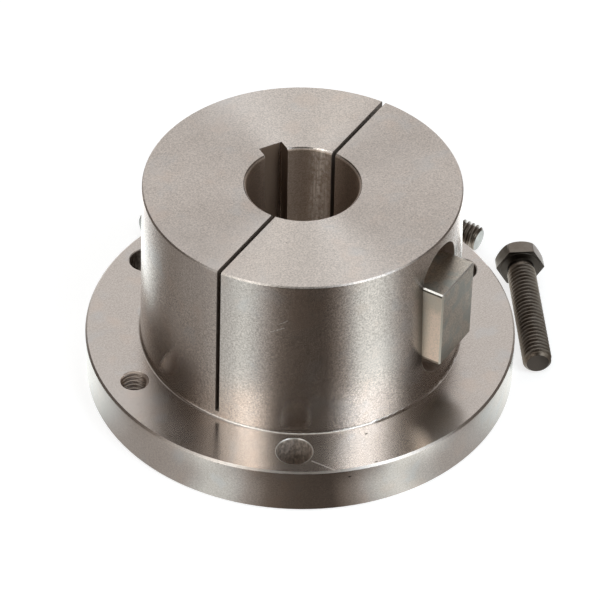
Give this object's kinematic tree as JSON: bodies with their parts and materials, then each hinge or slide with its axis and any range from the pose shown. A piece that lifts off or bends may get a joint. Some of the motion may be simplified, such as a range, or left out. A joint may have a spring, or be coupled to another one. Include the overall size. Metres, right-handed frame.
{
  "type": "quick disconnect bushing",
  "caption": "Flanged steel bushing with a split tapered barrel, keyed straight bore, drive key in its side and hex cap screws lying beside it; clamps a hub to a shaft.",
  "frame": {"origin": "on the bore's axis at the flange's back face", "axes": "+Z along the bore towards the barrel's small end, +Y through the middle of the bore's keyseat"},
  "size_m": [0.16, 0.1553, 0.073],
  "materials": {
    "machined_steel": "fine turned steel, satin, with faint warm and blue tints",
    "key_steel": "cold drawn bar, smooth satin",
    "dark_screw_steel": "oiled dark steel with a soft shine on the thread crests"
  },
  "bodies": {
    "root": {"bushing_body": "machined_steel", "drive_key": "key_steel", "cap_screw_front_right": "dark_screw_steel", "cap_screw_rear_right": "dark_screw_steel", "cap_screw_rear_left": "dark_screw_steel"}
  },
  "joints": []
}
